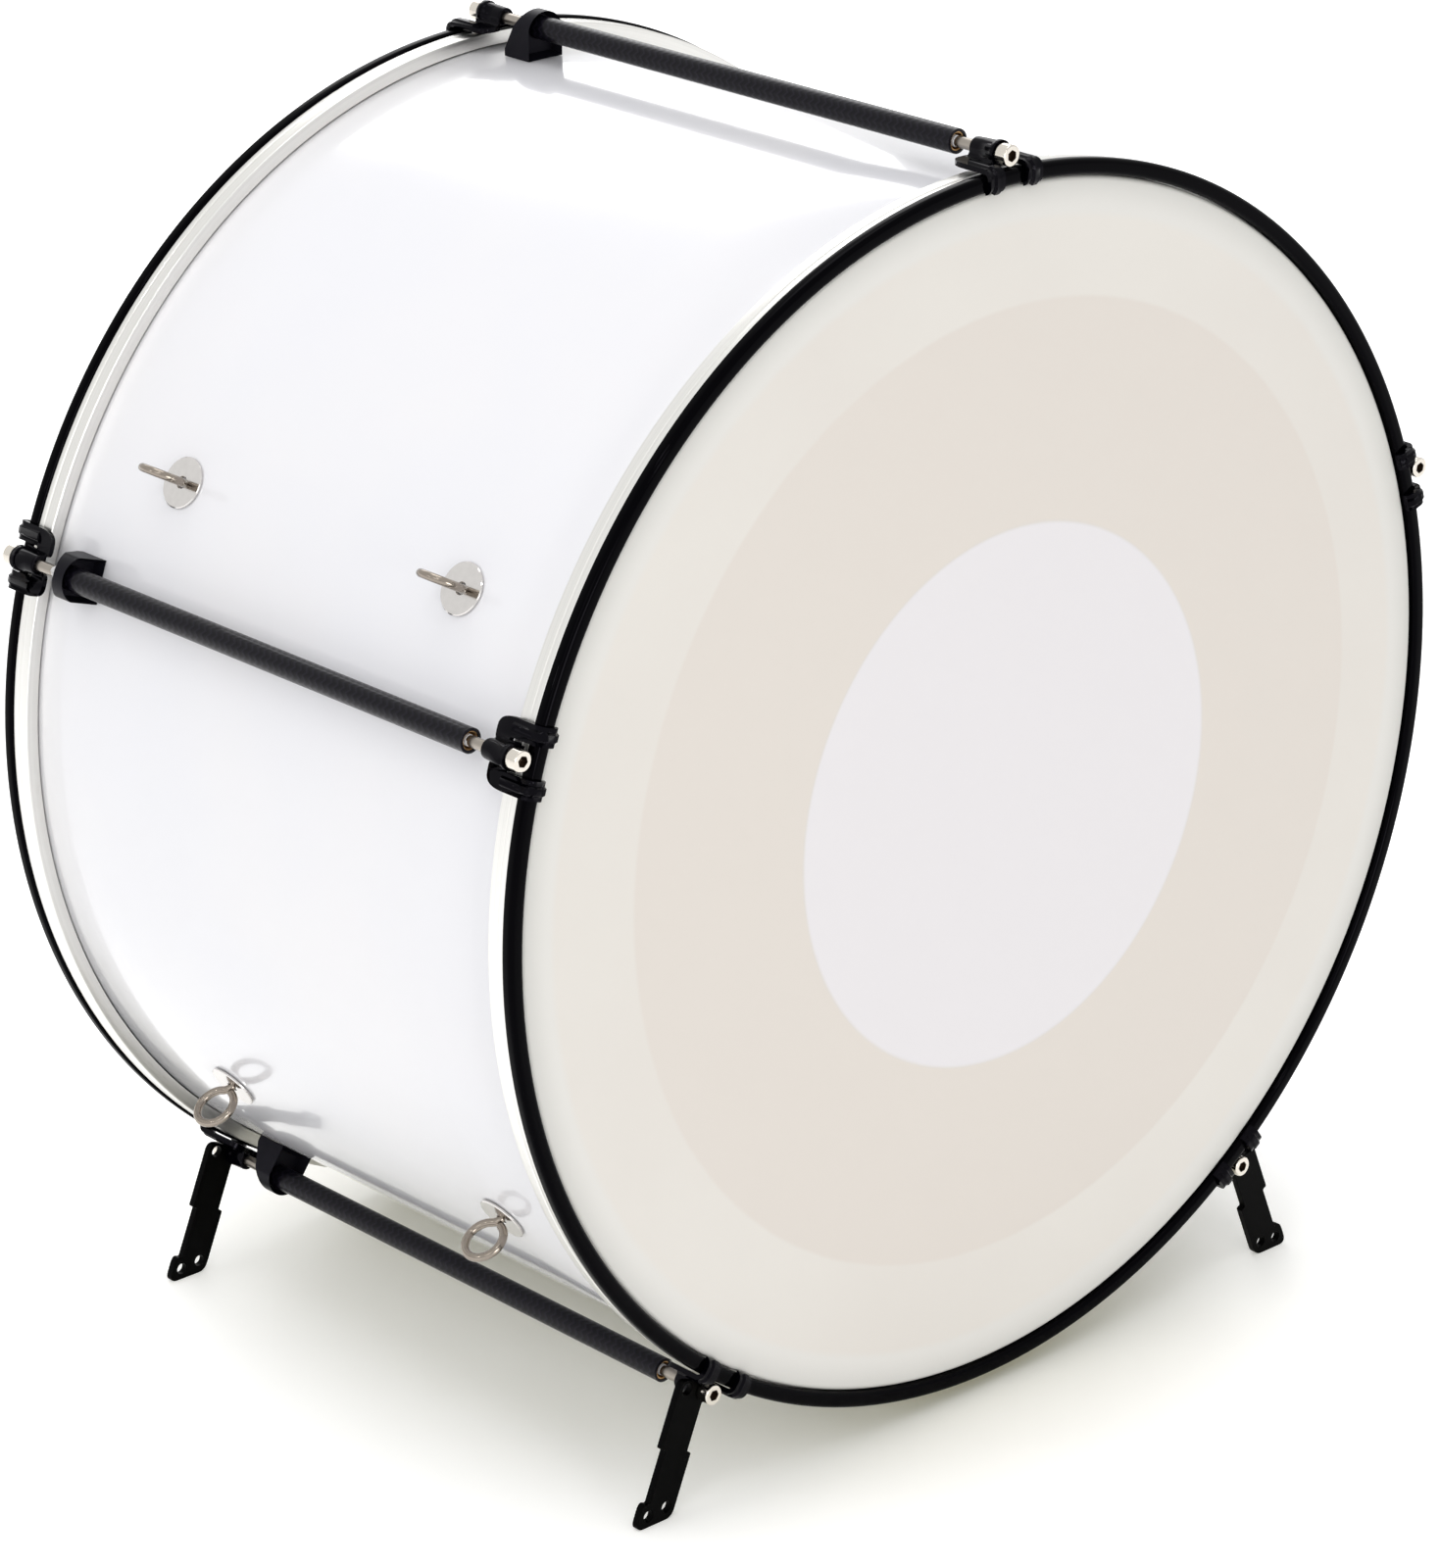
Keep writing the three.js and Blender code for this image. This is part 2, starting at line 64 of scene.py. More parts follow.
camera_data = bpy.data.cameras.new("camera")
camera_data.sensor_width = 36
camera_data.lens = lens_pixels / long_side * camera_data.sensor_width
camera_data.clip_end = 100
camera = bpy.data.objects.new("camera", camera_data)
eye_point = (-2.00064, -2.14207, 1.45229)
right, up = Vector((0.73249, -0.68078, 0.00103)), Vector((0.24988, 0.27027, 0.92979))
turn = Matrix((right, up, right.cross(up))).transposed()
camera.matrix_world = Matrix.Translation(eye_point) @ turn.to_4x4()
bpy.context.scene.collection.objects.link(camera)
bpy.context.scene.camera = camera
bpy.context.scene.view_settings.view_transform = "Standard"
print("lens", round(camera_data.lens, 2), "mm")

# %% [markdown]
# ## Sizes
# A maker's drawing lists its sizes once. The pieces below are drawn from this list, so that
# they land exactly where the solid model has them. Sizes that place a piece are in metres.
# Sections and outlines are drawn in millimetres.

# %% Sizes of the drum
mm = 0.001  # a millimetre, in metres
axle = 344.57 * mm  # height of the drum's axis over the floor
screw_circle = 344.7 * mm  # how far a screw's axis is from the drum's axis
hoop_radius, hoop_face = 338 * mm, 206.4 * mm
shell_outside, shell_inside, shell_crest = 328, 321, 203.2  # in millimetres
centre = Vector((0, 0, axle))
set_names = ["top", "left", "low_left", "low_right", "right"]
set_step = 360 / len(set_names)  # degrees from one tension set to the next
ends = (("front", -1), ("rear", 1))
across, over_faces = (round(size * 2 / mm) for size in (hoop_radius, hoop_face))
print("hoops", across, "mm across, and", over_faces, "mm over both faces")

# %% [markdown]
# ## Mixing a finish
# A finish is a net of small nodes. Written out node by node it is hard to read, so one small
# class wraps a node's output. Sums and products on it add Math nodes, and one method adds any
# other node, with shortcuts for the common ones. Then a pattern reads like a formula.

# %% Nodes from Python expressions
class Wire:
    """An output of a node. Python's operators on it add Math nodes."""

    def __init__(self, tree, socket=None):
        self.tree, self.socket = tree, socket

    def node(self, kind, settings, output=0, **sockets):
        """Adds a node of a kind, sets it up, then fills its sockets with values or wires."""
        made = self.tree.nodes.new("ShaderNode" + kind)
        for name, value in settings.items():
            setattr(made, name, value)
        for name, value in sockets.items():
            socket = made.inputs[int(name[1:])] if name[1:].isdigit() else made.inputs[name]
            if isinstance(value, Wire):
                self.tree.links.new(value.socket, socket)
            else:
                socket.default_value = value
        return Wire(self.tree, made.outputs[output] if made.outputs else None)

    def math(self, operation, first, second=0.0):
        return self.node("Math", {"operation": operation}, s0=first, s1=second)

    def vector(self, operation, **sockets):
        return self.node("VectorMath", {"operation": operation}, **sockets)

    def noise(self, scale, detail=2.0):
        """A cloudy pattern, where this wire is a place."""
        return self.node("TexNoise", {}, Vector=self, Scale=scale, Detail=detail)

    def __add__(self, other):
        return self.math("ADD", self, other)

    def __sub__(self, other):
        return self.math("SUBTRACT", self, other)

    def __rsub__(self, other):
        return self.math("SUBTRACT", other, self)

    def __mul__(self, other):
        return self.math("MULTIPLY", self, other)

    def step(self, low, high):
        """0 under low, 1 over high, and a soft change between them."""
        return self.node("MapRange", {"interpolation_type": "SMOOTHSTEP"}, Value=self,
                         **{"From Min": low, "From Max": high})

    def blend(self, one, other):
        """A colour that is one where this wire is 0 and other where it is 1."""
        one, other = [c if isinstance(c, Wire) else (*c, 1) for c in (one, other)]
        return self.node("Mix", {"data_type": "RGBA"}, output=2, s0=self, s6=one, s7=other)


def finish(name, **constants):
    """A new material, and wires for its net: where a point is, and the shader's sockets."""
    material = bpy.data.materials.new(name)
    material.use_nodes = True
    surface = material.node_tree.nodes["Principled BSDF"]
    for socket, value in constants.items():
        surface.inputs[socket.replace("_", " ")].default_value = value
    start = Wire(material.node_tree)
    place = start.node("TexCoord", {}, output=3)
    return material, surface, place


def plug(surface, **wires):
    for socket, wire in wires.items():
        surface.id_data.links.new(wire.socket, surface.inputs[socket.replace("_", " ")])


def bump(height, strength, distance):
    return height.node("Bump", {}, Height=height, Strength=strength, Distance=distance)


print("finishes are ready to mix")

# %% [markdown]
# ## The studio
# The drum stands on a white floor that runs out to a white background, with a soft shadow
# under it. That shadow is partly cast by the lamps and partly painted shade: near the drum the
# floor's glow fades to a faint warm tone. Most of the light comes from a pale room, which is
# brighter behind the drum and at
# a window on its upper left. Four soft lamps even it out, and three small ones put sharp
# sparks on enamel and steel. The background is made white by its colour and by Light Path,
# and not by more light, so that the pale shell keeps its shades. Polished and clear surfaces
# show that white too.

# %% Floor, world and lamps
def srgb(red, green, blue):
    """A colour in screen numbers, 0 to 255, as the linear numbers that shaders use."""
    return tuple(c / 255 / 12.92 if c < 11 else ((c / 255 + 0.055) / 1.055) ** 2.4
                 for c in (red, green, blue))


bpy.ops.mesh.primitive_plane_add(size=30)
floor = bpy.context.object
floor.name = "floor"


def seen_rays(wire):
    """1 for rays from the camera, straight or by way of a polished or clear surface."""
    straight, glossy, clear = (wire.node("LightPath", {}, output=kind) for kind in (0, 3, 6))
    seen = straight.math("MAXIMUM", straight, glossy)
    return seen.math("MAXIMUM", seen, clear)


floor_paint, surface, place = finish("floor_paint", Roughness=1.0, Emission_Strength=1.0,
                                     Specular_IOR_Level=0.0)
tone = place.noise(3.0).blend((0.93, 0.93, 0.92), (0.91, 0.91, 0.9))
# Painted shade: near the drum the floor's white glow fades to a faint warm tone, which deepens and
# warms the shadow under it.
out_of_painted_shade = place.vector("LENGTH", output=1, s0=place).step(0.18, 0.46)  # 0 under the drum
glow_with_painted_shade = out_of_painted_shade.blend((0.08, 0.077, 0.03), (0.6, 0.6, 0.6))
plug(surface, Base_Color=tone, Emission_Color=seen_rays(place).blend((0, 0, 0), glow_with_painted_shade))
floor.data.materials.append(floor_paint)

world = bpy.data.worlds.new("studio")
bpy.context.scene.world = world
world.use_nodes = True
sky = Wire(world.node_tree)
world.node_tree.nodes.clear()
toward = sky.node("TexCoord", {}, output=0)
behind, window = (0.42, 0.62, 0.66), (-0.72, -0.2, 0.66)
room = (0.2, 0.19, 0.185)
for direction, starts, full, glow in ((behind, -0.25, 0.5, (0.87, 0.87, 0.9)),
                                      (window, 0.6, 0.92, (2.2, 2.2, 2.23))):
    facing = toward.vector("DOT_PRODUCT", output=1, s0=toward, s1=direction)
    room = facing.step(starts, full).blend(room, glow)
lit = sky.node("Background", {}, Color=room, Strength=0.57)
white = sky.node("Background", {}, Color=(1, 1, 1, 1), Strength=1.0)
mixed = sky.node("MixShader", {}, Fac=seen_rays(sky), s1=lit, s2=white)
sky.node("OutputWorld", {}, Surface=mixed)


def soft_lamp(name, place, aim, size, watts):
    """A square lamp that glows evenly and points at a place."""
    data = bpy.data.lights.new(name, "AREA")
    data.shape, data.size, data.energy = "SQUARE", size, watts
    lamp = bpy.data.objects.new(name, data)
    lamp.location = place
    lamp.rotation_euler = (Vector(aim) - Vector(place)).to_track_quat("-Z", "Y").to_euler()
    bpy.context.scene.collection.objects.link(lamp)


for name, place, size, watts in (("overhead_lamp", (0.3, 0.3, 3.0), 1.3, 13),
                                 ("front_lamp", (-1.2, -4.6, 0.6), 1.8, 62),
                                 ("side_lamp", (-4.1, -1.7, 2.5), 2.0, 12)):
    soft_lamp(name, place, (0, 0, 0.3), size, watts)
soft_lamp("back_lamp", (1.5, 2.45, 2.0), (-0.1, 0, 0.66), 1.6, 17)
for name, place in (("high_spark", (-1.4, -1.0, 2.6)), ("left_spark", (-2.8, 0.6, 1.5)),
                    ("front_spark", (-0.4, -3.0, 1.7))):
    soft_lamp(name, place, (0, 0, 0.4), 0.16, 2)
print("floor, world and seven lamps are in place")

# %% [markdown]
# ## White lacquer
# The shell is a wooden tube under many coats of white lacquer, sanded and polished. It has a
# faint cool tone, and its gloss shows the fittings as weak reflections. A mirror-flat surface
# looks like plastic film, so a very low bump keeps the slight waviness of sprayed lacquer.

# %% Mix the white lacquer
lacquer, surface, place = finish("white_lacquer", Roughness=0.2, Coat_Weight=0.6,
                                 Coat_Roughness=0.04, IOR=1.48)
cloud, ripple = place.noise(4.0, 3.0), place.noise(160.0)
plug(surface, Base_Color=cloud.step(0.35, 0.65).blend(srgb(243, 243, 246), srgb(246, 245, 246)),
     Roughness=cloud * 0.08 + 0.16, Normal=bump(ripple, 0.05, 0.0004))

# %% [markdown]
# ## Head film
# A bass drum head is a plastic film with a sprayed, slightly rough coat, cream in colour. A
# second film, whiter and smoother, is glued on in the middle, and a faint ring further out
# shows where a muffling strip sits behind the film. The rings sit a little off centre, as on
# the real heads. They are drawn from the distance to the middle, so no picture is needed. The
# grey band next to the hoop is painted shade, where the hoop shades the film.

# %% Mix the head film
film, surface, place = finish("head_film", Roughness=0.5, IOR=1.45)


def ring_distance(place, x, z):
    """How far a point is from the drum's axis, shifted by x and z."""
    moved = place.node("Mapping", {}, Vector=place, Location=(-x, 0, -axle - z))
    flat = moved.vector("MULTIPLY", s0=moved, s1=(1, 0, 1))
    return flat.vector("LENGTH", s0=flat, output=1)


patch_distance = ring_distance(place, 9 * mm, -3 * mm)
strip_distance = ring_distance(place, 7.7 * mm, 2 * mm)
edge_distance = ring_distance(place, 0, 0)
patch = 1 - patch_distance.step(148.2 * mm, 149.0 * mm)
patch_edge = (patch_distance.step(147 * mm, 148.4 * mm)
              * (1 - patch_distance.step(148.8 * mm, 150.2 * mm)))
strip = 1 - strip_distance.step(261.5 * mm, 264.5 * mm)
rim = edge_distance.step(306 * mm, 312 * mm)
# Painted shade: the coat turns greyer over the last twenty millimetres next to the hoop.
edge = edge_distance.step(311 * mm, 331 * mm)
coat = place.noise(5.0, 4.0).step(0.3, 0.7).blend(srgb(238, 233, 225), srgb(241, 237, 229))
coat = strip.blend(coat, srgb(236, 229, 220))
coat = patch.blend(coat, srgb(243, 240, 241))
coat = (patch_edge * 0.5).blend(coat, srgb(233, 228, 222))
coat = rim.blend(coat, srgb(239, 237, 231))
# The painted shade of the hoop is laid over the coat here.
coat = edge.blend(coat, srgb(222, 221, 215))
grain = place.noise(1400.0)
film_height = grain * (1 - patch * 0.7) + patch * 1.4
plug(surface, Base_Color=coat, Roughness=0.52 - patch * 0.16 + grain * 0.06,
     Normal=bump(film_height, 0.12, 0.0002))

# %% [markdown]
# ## Metals
# Bare metal shows how it was made. The rings under the hoops are drawn aluminium, turned on a
# lathe, so their marks run round the drum. The screws are bright steel, duller on the shank
# than on the polished head, and their sockets get a dark brown painted shade. The eye bolts are
# polished wire, the washers are stamped from sheet, and the cores of the rods are plain brass. All
# of them are metallic, with roughness and a low bump that carry the marks.

# %% Mix the metals
def turned_marks(place, pitch):
    """Fine lines that run round the drum's axis, as a lathe leaves them."""
    radius = ring_distance(place, 0, 0)
    along = place.node("SeparateXYZ", {}, Vector=place, output=1)
    return place.node("CombineXYZ", {}, X=radius, Y=along).noise(1 / pitch)


aluminium, surface, place = finish("turned_aluminium", Metallic=1.0)
marks = turned_marks(place, 0.9 * mm)
plug(surface, Base_Color=marks.blend(srgb(216, 215, 211), srgb(236, 235, 231)),
     Roughness=marks * 0.16 + 0.24, Normal=bump(marks, 0.1, 0.0002))

bright_steel, surface, place = finish("bright_steel", Metallic=1.0)
scuff = place.noise(900.0, 3.0)
along = place.node("SeparateXYZ", {}, Vector=place, output=1)
on_head = along.math("ABSOLUTE", along).step(197.6 * mm, 198.2 * mm)
plug(surface, Base_Color=on_head.blend(srgb(158, 151, 142), srgb(214, 208, 198)),
     Roughness=0.26 - on_head * 0.14 + scuff * 0.06, Normal=bump(scuff, 0.03, 0.00005))

# Painted shade: the socket walls get a dark brown colour for the shade inside the recess.
painted_socket_shade, surface, place = finish("painted_socket_shade", Metallic=1.0, Roughness=0.3)
plug(surface, Base_Color=place.noise(700.0).blend(srgb(84, 72, 60), srgb(120, 106, 92)))

polished_wire, surface, place = finish("polished_wire", Metallic=1.0)
smudge = place.noise(250.0, 3.0)
plug(surface, Base_Color=smudge.blend(srgb(138, 129, 119), srgb(152, 143, 133)),
     Roughness=smudge * 0.04 + 0.14)

stamped_steel, surface, place = finish("stamped_steel", Metallic=1.0)
haze = place.noise(220.0, 4.0)
plug(surface, Base_Color=haze.blend(srgb(204, 201, 198), srgb(216, 213, 210)),
     Roughness=haze * 0.06 + 0.08, Normal=bump(haze, 0.04, 0.00005))

brass, surface, place = finish("plain_brass", Metallic=1.0)
tarnish = place.noise(500.0, 4.0)
plug(surface, Base_Color=tarnish.step(0.35, 0.7).blend(srgb(214, 172, 120), srgb(176, 132, 84)),
     Roughness=tarnish * 0.2 + 0.25, Normal=bump(tarnish, 0.1, 0.0001))

# %% [markdown]
# ## Black finishes
# Four blacks lie side by side on this drum, and they differ in gloss more than in colour. The
# hoops have a deep gloss enamel, the claws a thinner enamel over pressed steel, the feet a
# satin coat with a fine texture, and the blocks are moulded with a soft grain. The enamels and
# the plastic reflect with a faint violet tint.

# %% Mix the blacks
def black(name, dark, light, roughness, spread, grain_scale, grain_depth, **constants):
    """A cloudy black between two colours, with a fine grain on it."""
    material, surface, place = finish(name, **constants)
    cloud = place.noise(35.0, 3.0)
    plug(surface, Base_Color=cloud.blend(dark, light), Roughness=cloud * spread + roughness,
         Normal=bump(place.noise(grain_scale), 0.2, grain_depth))
    return material


violet = (0.9, 0.85, 1.0, 1.0)
hoop_enamel = black("hoop_enamel", srgb(1, 1, 2), srgb(2, 2, 3), 0.04, 0.04, 500.0, 0.00002,
                    Specular_IOR_Level=0.03, Specular_Tint=violet)
claw_enamel = black("claw_enamel", srgb(1, 1, 3), srgb(3, 3, 6), 0.08, 0.05, 600.0, 0.00002,
                    Specular_IOR_Level=0.08, Specular_Tint=violet)
foot_coat = black("foot_coat", srgb(2, 2, 2), srgb(4, 4, 4), 0.24, 0.1, 2200.0, 0.00004,
                  Specular_IOR_Level=0.025)
moulded_black = black("moulded_black", srgb(8, 8, 13), srgb(13, 13, 20), 0.34, 0.1, 1600.0, 0.00006,
                      Specular_IOR_Level=0.1, Specular_Tint=violet)

# %% [markdown]
# ## Woven sleeve
# The rods are tubes of braided black fibre under clear lacquer. Bundles of fibre cross at a
# slant, and the crossing repeats every 4.8 mm. Only the edge of a highlight shows it, as a
# row of short dashes. The pattern follows the tube's own UV map, so it runs round every rod
# in the same way wherever the rod is.

# %% Mix the woven sleeve
sleeve_length = 325.7 * mm
around, repeats = 9, sleeve_length / (4.8 * mm)  # how often the braid repeats each way
woven, surface, place = finish("woven_sleeve", Coat_Weight=0.28, Coat_Roughness=0.04,
                               Coat_IOR=1.3, Specular_IOR_Level=0.1, Specular_Tint=violet)
own_map = place.node("TexCoord", {}, output=2)
across = own_map.node("SeparateXYZ", {}, Vector=own_map, output=0) * around
length = own_map.node("SeparateXYZ", {}, Vector=own_map, output=1) * (2 * repeats)


def sawtooth(wire):
    return wire.math("FRACT", wire)


def bundle(wire):
    """1 along the middle of a bundle of fibre, and 0 at its sides."""
    beside = sawtooth(wire) - 0.5
    return 1 - beside.math("ABSOLUTE", beside) * 2


one_way, other_way = across + length, across - length
turn_one = sawtooth(one_way * 0.5 + other_way * 0.5)
on_top = turn_one.math("GREATER_THAN", turn_one, 0.5)
weave = on_top * bundle(one_way) + (1 - on_top) * bundle(other_way)
fibre = own_map.node("Mapping", {}, Vector=own_map, Scale=(400, 3000, 1)).noise(1.0, 1.0)
shine = weave.step(0.45, 0.95) * 0.85 + fibre * 0.15
plug(surface, Base_Color=shine.blend(srgb(3, 3, 6), srgb(22, 20, 28)),
     Roughness=0.42 - weave * 0.14, Normal=bump(weave + fibre * 0.2, 0.3, 0.0002))
print(len(bpy.data.materials), "finishes are mixed")

# %% [markdown]
# ## Working by hand, in code
# Each new piece is modelled as a person would do it in the window: add a primitive, go into
# edit mode, and extrude, spin, bevel or bridge. Operators act on what is selected, so these
# helpers clear the selection first and then pick faces or edges by where they are.

# %% Helpers for selecting and finishing
def only(piece):
    """Leaves one object selected and active."""
    if bpy.context.mode != "OBJECT":
        bpy.ops.object.mode_set(mode="OBJECT")
    bpy.ops.object.select_all(action="DESELECT")
    piece.select_set(True)
    bpy.context.view_layer.objects.active = piece
    return piece


def edit(piece):
    """Opens one object in edit mode, with all its points selected."""
    only(piece)
    bpy.ops.object.mode_set(mode="EDIT")
    bpy.ops.mesh.select_mode(type="VERT")
    bpy.ops.mesh.select_all(action="SELECT")


def pick(test, kind="faces"):
    """In edit mode, selects faces by middle and normal, or edges by their two ends."""
    bpy.ops.mesh.select_mode(type={"faces": "FACE", "edges": "EDGE"}[kind])
    bpy.ops.mesh.select_all(action="DESELECT")
    piece = bpy.context.object
    mesh = bmesh.from_edit_mesh(piece.data)
    for part in getattr(mesh, kind):
        if kind == "faces":
            chosen = test(piece.matrix_world @ part.calc_center_median(), part.normal)
        else:
            chosen = test(*(piece.matrix_world @ v.co for v in part.verts))
        if chosen:
            part.select_set(True)
    mesh.select_flush_mode()
    bmesh.update_edit_mesh(piece.data)


def pull(x, y, z):
    """In edit mode, extrudes what is selected and moves it, in millimetres."""
    bpy.ops.mesh.extrude_region_move(
        TRANSFORM_OT_translate={"value": (x * mm, y * mm, z * mm)})


def outward(merge=0):
    """In edit mode, merges points closer than a distance, and turns every face outward."""
    bpy.ops.mesh.select_all(action="SELECT")
    if merge:
        bpy.ops.mesh.remove_doubles(threshold=merge * mm)
    bpy.ops.mesh.normals_make_consistent(inside=False)


def draw(name, points, filled=True):
    """Draws a closed line: one corner first, and each next one is pulled out of the last."""
    bpy.ops.object.select_all(action="DESELECT")
    points = [Vector(p) for p in points]
    bpy.ops.mesh.primitive_plane_add(size=mm, location=points[0])
    piece = bpy.context.object
    piece.name = piece.data.name = name
    edit(piece)
    bpy.ops.mesh.merge(type="CENTER")
    for start, end in zip(points, points[1:]):
        bpy.ops.mesh.extrude_region_move(TRANSFORM_OT_translate={"value": end - start})
    bpy.ops.mesh.select_all(action="SELECT")
    bpy.ops.mesh.edge_face_add()
    if not filled:
        bpy.ops.mesh.delete(type="ONLY_FACE")
    bpy.ops.object.mode_set(mode="OBJECT")
    return piece


def modify(piece, kind, **settings):
    """Adds a modifier, sets it up, and applies it."""
    only(piece)
    modifier = piece.modifiers.new(kind.title(), kind)
    for name, value in settings.items():
        setattr(modifier, name, value)
    bpy.ops.object.modifier_apply(modifier=modifier.name)
    return piece


def drill(piece, middle, radius, length, sides=40, **settings):
    """Cuts a straight hole along Y, as wide and long as a cylinder in millimetres."""
    bpy.ops.object.mode_set(mode="OBJECT")
    bpy.ops.mesh.primitive_cylinder_add(
        vertices=sides, radius=radius * mm, depth=length * mm, rotation=(pi / 2, 0, 0),
        location=middle)
    cutter = bpy.context.object
    modify(piece, "BOOLEAN", operation="DIFFERENCE", solver="EXACT", object=cutter, **settings)
    bpy.data.objects.remove(cutter)


def round_edges(piece, width, segments=3, angle=35):
    """Rounds the sharp edges, then shades the faces between them evenly."""
    modify(piece, "BEVEL", width=width, segments=segments, limit_method="ANGLE",
           angle_limit=radians(angle), use_clamp_overlap=True)
    only(piece)
    bpy.ops.object.shade_smooth_by_angle(angle=radians(40))
    modify(piece, "WEIGHTED_NORMAL", keep_sharp=True, weight=60)
    return piece


def settle(piece, name, material, slot, body, *replaced):
    """Names a finished piece, gives it its finish and puts it on its body."""
    only(piece)
    bpy.ops.object.transform_apply(location=True, rotation=True, scale=True)
    piece.name = piece.data.name = name
    if not piece.data.materials:
        piece.data.materials.append(material)
    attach(piece, body)
    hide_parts(*replaced)
    return piece


# %% [markdown]
# ## Round pieces
# The shell, the heads, the rings and the hoops are all turned shapes. A turned shape is easy
# to draw: half of its section, drawn once, is spun round the drum's axis. 270 steps keep the
# big circles smooth, and the solid model's corners fall on them too.

# %% A helper that spins a section round the drum's axis
round_steps = 270


def spun(name, section, end=1):
    """Draws (radius, along) points above the axis, in millimetres, and spins them round it."""
    points = [(0, end * along * mm, axle + radius * mm) for radius, along in section]
    piece = draw(name, points, filled=False)
    edit(piece)
    bpy.ops.mesh.spin(steps=round_steps, angle=2 * pi, center=centre, axis=(0, 1, 0))
    outward(merge=0.02)
    bpy.ops.object.mode_set(mode="OBJECT")
    bpy.ops.object.shade_smooth_by_angle(angle=radians(40))
    return piece


def arc(middle, radius, start, stop, steps):
    """Points on part of a circle, in degrees, for the round corners of a section."""
    return [(middle[0] + radius * cos(radians(start + (stop - start) * i / steps)),
             middle[1] + radius * sin(radians(start + (stop - start) * i / steps)))
            for i in range(steps + 1)]


# %% [markdown]
# ## Shell
# The shell is seven millimetres of laminated wood. Its ends are cut to an edge that the heads
# bear on: a slope outside, a small cut inside, and a narrow crest between them. The holes for
# the eye bolts stay under their washers.

# %% Spin the shell
slope = shell_outside - 323.5  # how far the outer slope runs, in and along
inner_cut, crest_middle, crest_round = 201.7, (323.2, 202.6), 0.6
shell = spun("shell_tube", [
    (shell_inside, -inner_cut), *arc((crest_middle[0], -crest_middle[1]), crest_round, 200, 300, 4),
    (shell_outside - 0.5, -shell_crest + slope + 0.2), (shell_outside, -shell_crest + slope + 1.4),
    (shell_outside, -120), (shell_outside, 0), (shell_outside, 120),
    (shell_outside, shell_crest - slope - 1.4), (shell_outside - 0.5, shell_crest - slope - 0.2),
    *arc(crest_middle, crest_round, 60, 160, 4), (shell_inside, inner_cut),
    (shell_inside, 100), (shell_inside, -100),
])
settle(shell, "shell_tube", lacquer, "white_lacquer", "drum", "shell")
print("shell", len(shell.data.polygons), "faces")

# %% [markdown]
# ## Heads
# Each head is one film, pressed over a mould so that it has a flat face, a rounded shoulder
# over the shell's edge and a short collar. The collar ends in a flange that the metal ring
# grips. The film is very thin, so its section is drawn as two lines close together.

# %% Spin the two heads
film_outside, film_inside = 203.85, 203.5
shoulder, shoulder_outside, shoulder_inside = (326.0, 201.15), 2.65, 2.3
film_section = [
    *((radius, film_outside) for radius in (0, 60, 140, 149, 220, 300, 323.5)),
    *arc(shoulder, shoulder_outside, 90, 0, 6), (328.65, 191.4), (330.5, 191.4),
    (330.5, 191.05), (328.3, 191.05), *arc(shoulder, shoulder_inside, 0, 90, 6),
    *((radius, film_inside) for radius in (323.5, 300, 220, 60, 0)),
]
for end, sign in ends:
    head = spun("drum_head_" + end, film_section, sign)
    settle(head, "drum_head_" + end, film, "cream_film", "drum", "head_" + end)
print("head", len(head.data.polygons), "faces")

# %% [markdown]
# ## Metal rings
# The film's flange sits in an aluminium ring, and the hoop presses on that ring. The ring is
# a drawn channel: rounded at its edges, with a shallow step round its outer face that shows
# as a fine dark line.

# %% Spin the two rings
ring_section = [
    (328.95, 187.4), (335.7, 187.4), *arc((335.7, 188.1), 0.7, -90, 0, 3)[1:], (336.4, 193.6),
    (336.0, 194.0), (336.0, 194.7), (336.4, 195.1), (336.5, 195.3), (336.5, 198.0),
    *arc((335.9, 198.1), 0.6, 0, 90, 3), (328.95, 198.7), (328.95, 191.75), (330.8, 191.75),
    (330.8, 190.5), (328.95, 190.5),
]
for end, sign in ends:
    ring = spun("metal_ring_" + end, ring_section, sign)
    settle(ring, "metal_ring_" + end, aluminium, "brushed_ring", "drum", "flesh_ring_" + end)
print("ring", len(ring.data.polygons), "faces")

# %% [markdown]
# ## Hoops
# The hoop is a steel bar rolled into a circle, with round corners, under black enamel. Its
# section is a rectangle with rounded corners: soft ones at the outer face, and tighter ones at
# the back, which is why a thin bright line shows there.

# %% Spin the two hoops
low, high, back, face = 329.2, 338.0, 199.0, 206.4
back_round, rim_round, bore_round = 1.6, 3, 2.6
hoop_section = [
    *arc((low + back_round, back + back_round), back_round, 180, 270, 4),
    *arc((high - back_round, back + back_round), back_round, -90, 0, 4),
    *arc((high - rim_round, face - rim_round), rim_round, 0, 90, 7),
    *arc((low + bore_round, face - bore_round), bore_round, 90, 180, 6),
]
for end, sign in ends:
    hoop = spun("black_hoop_" + end, hoop_section, sign)
    settle(hoop, "black_hoop_" + end, hoop_enamel, "black_enamel", "drum", "hoop_" + end)
print("hoop", len(hoop.data.polygons), "faces")

# %% [markdown]
# ## Copies round the drum
# There are ten claws and ten screws, and five of most other fittings. Each is modelled once,
# at the top of the rear hoop, where its own axes agree with the drum's. A copy is turned half
# round for the front hoop, and then round the drum's axis to its tension set. The turn is
# applied to the mesh, so every copy sits at the origin and its place is in its points.

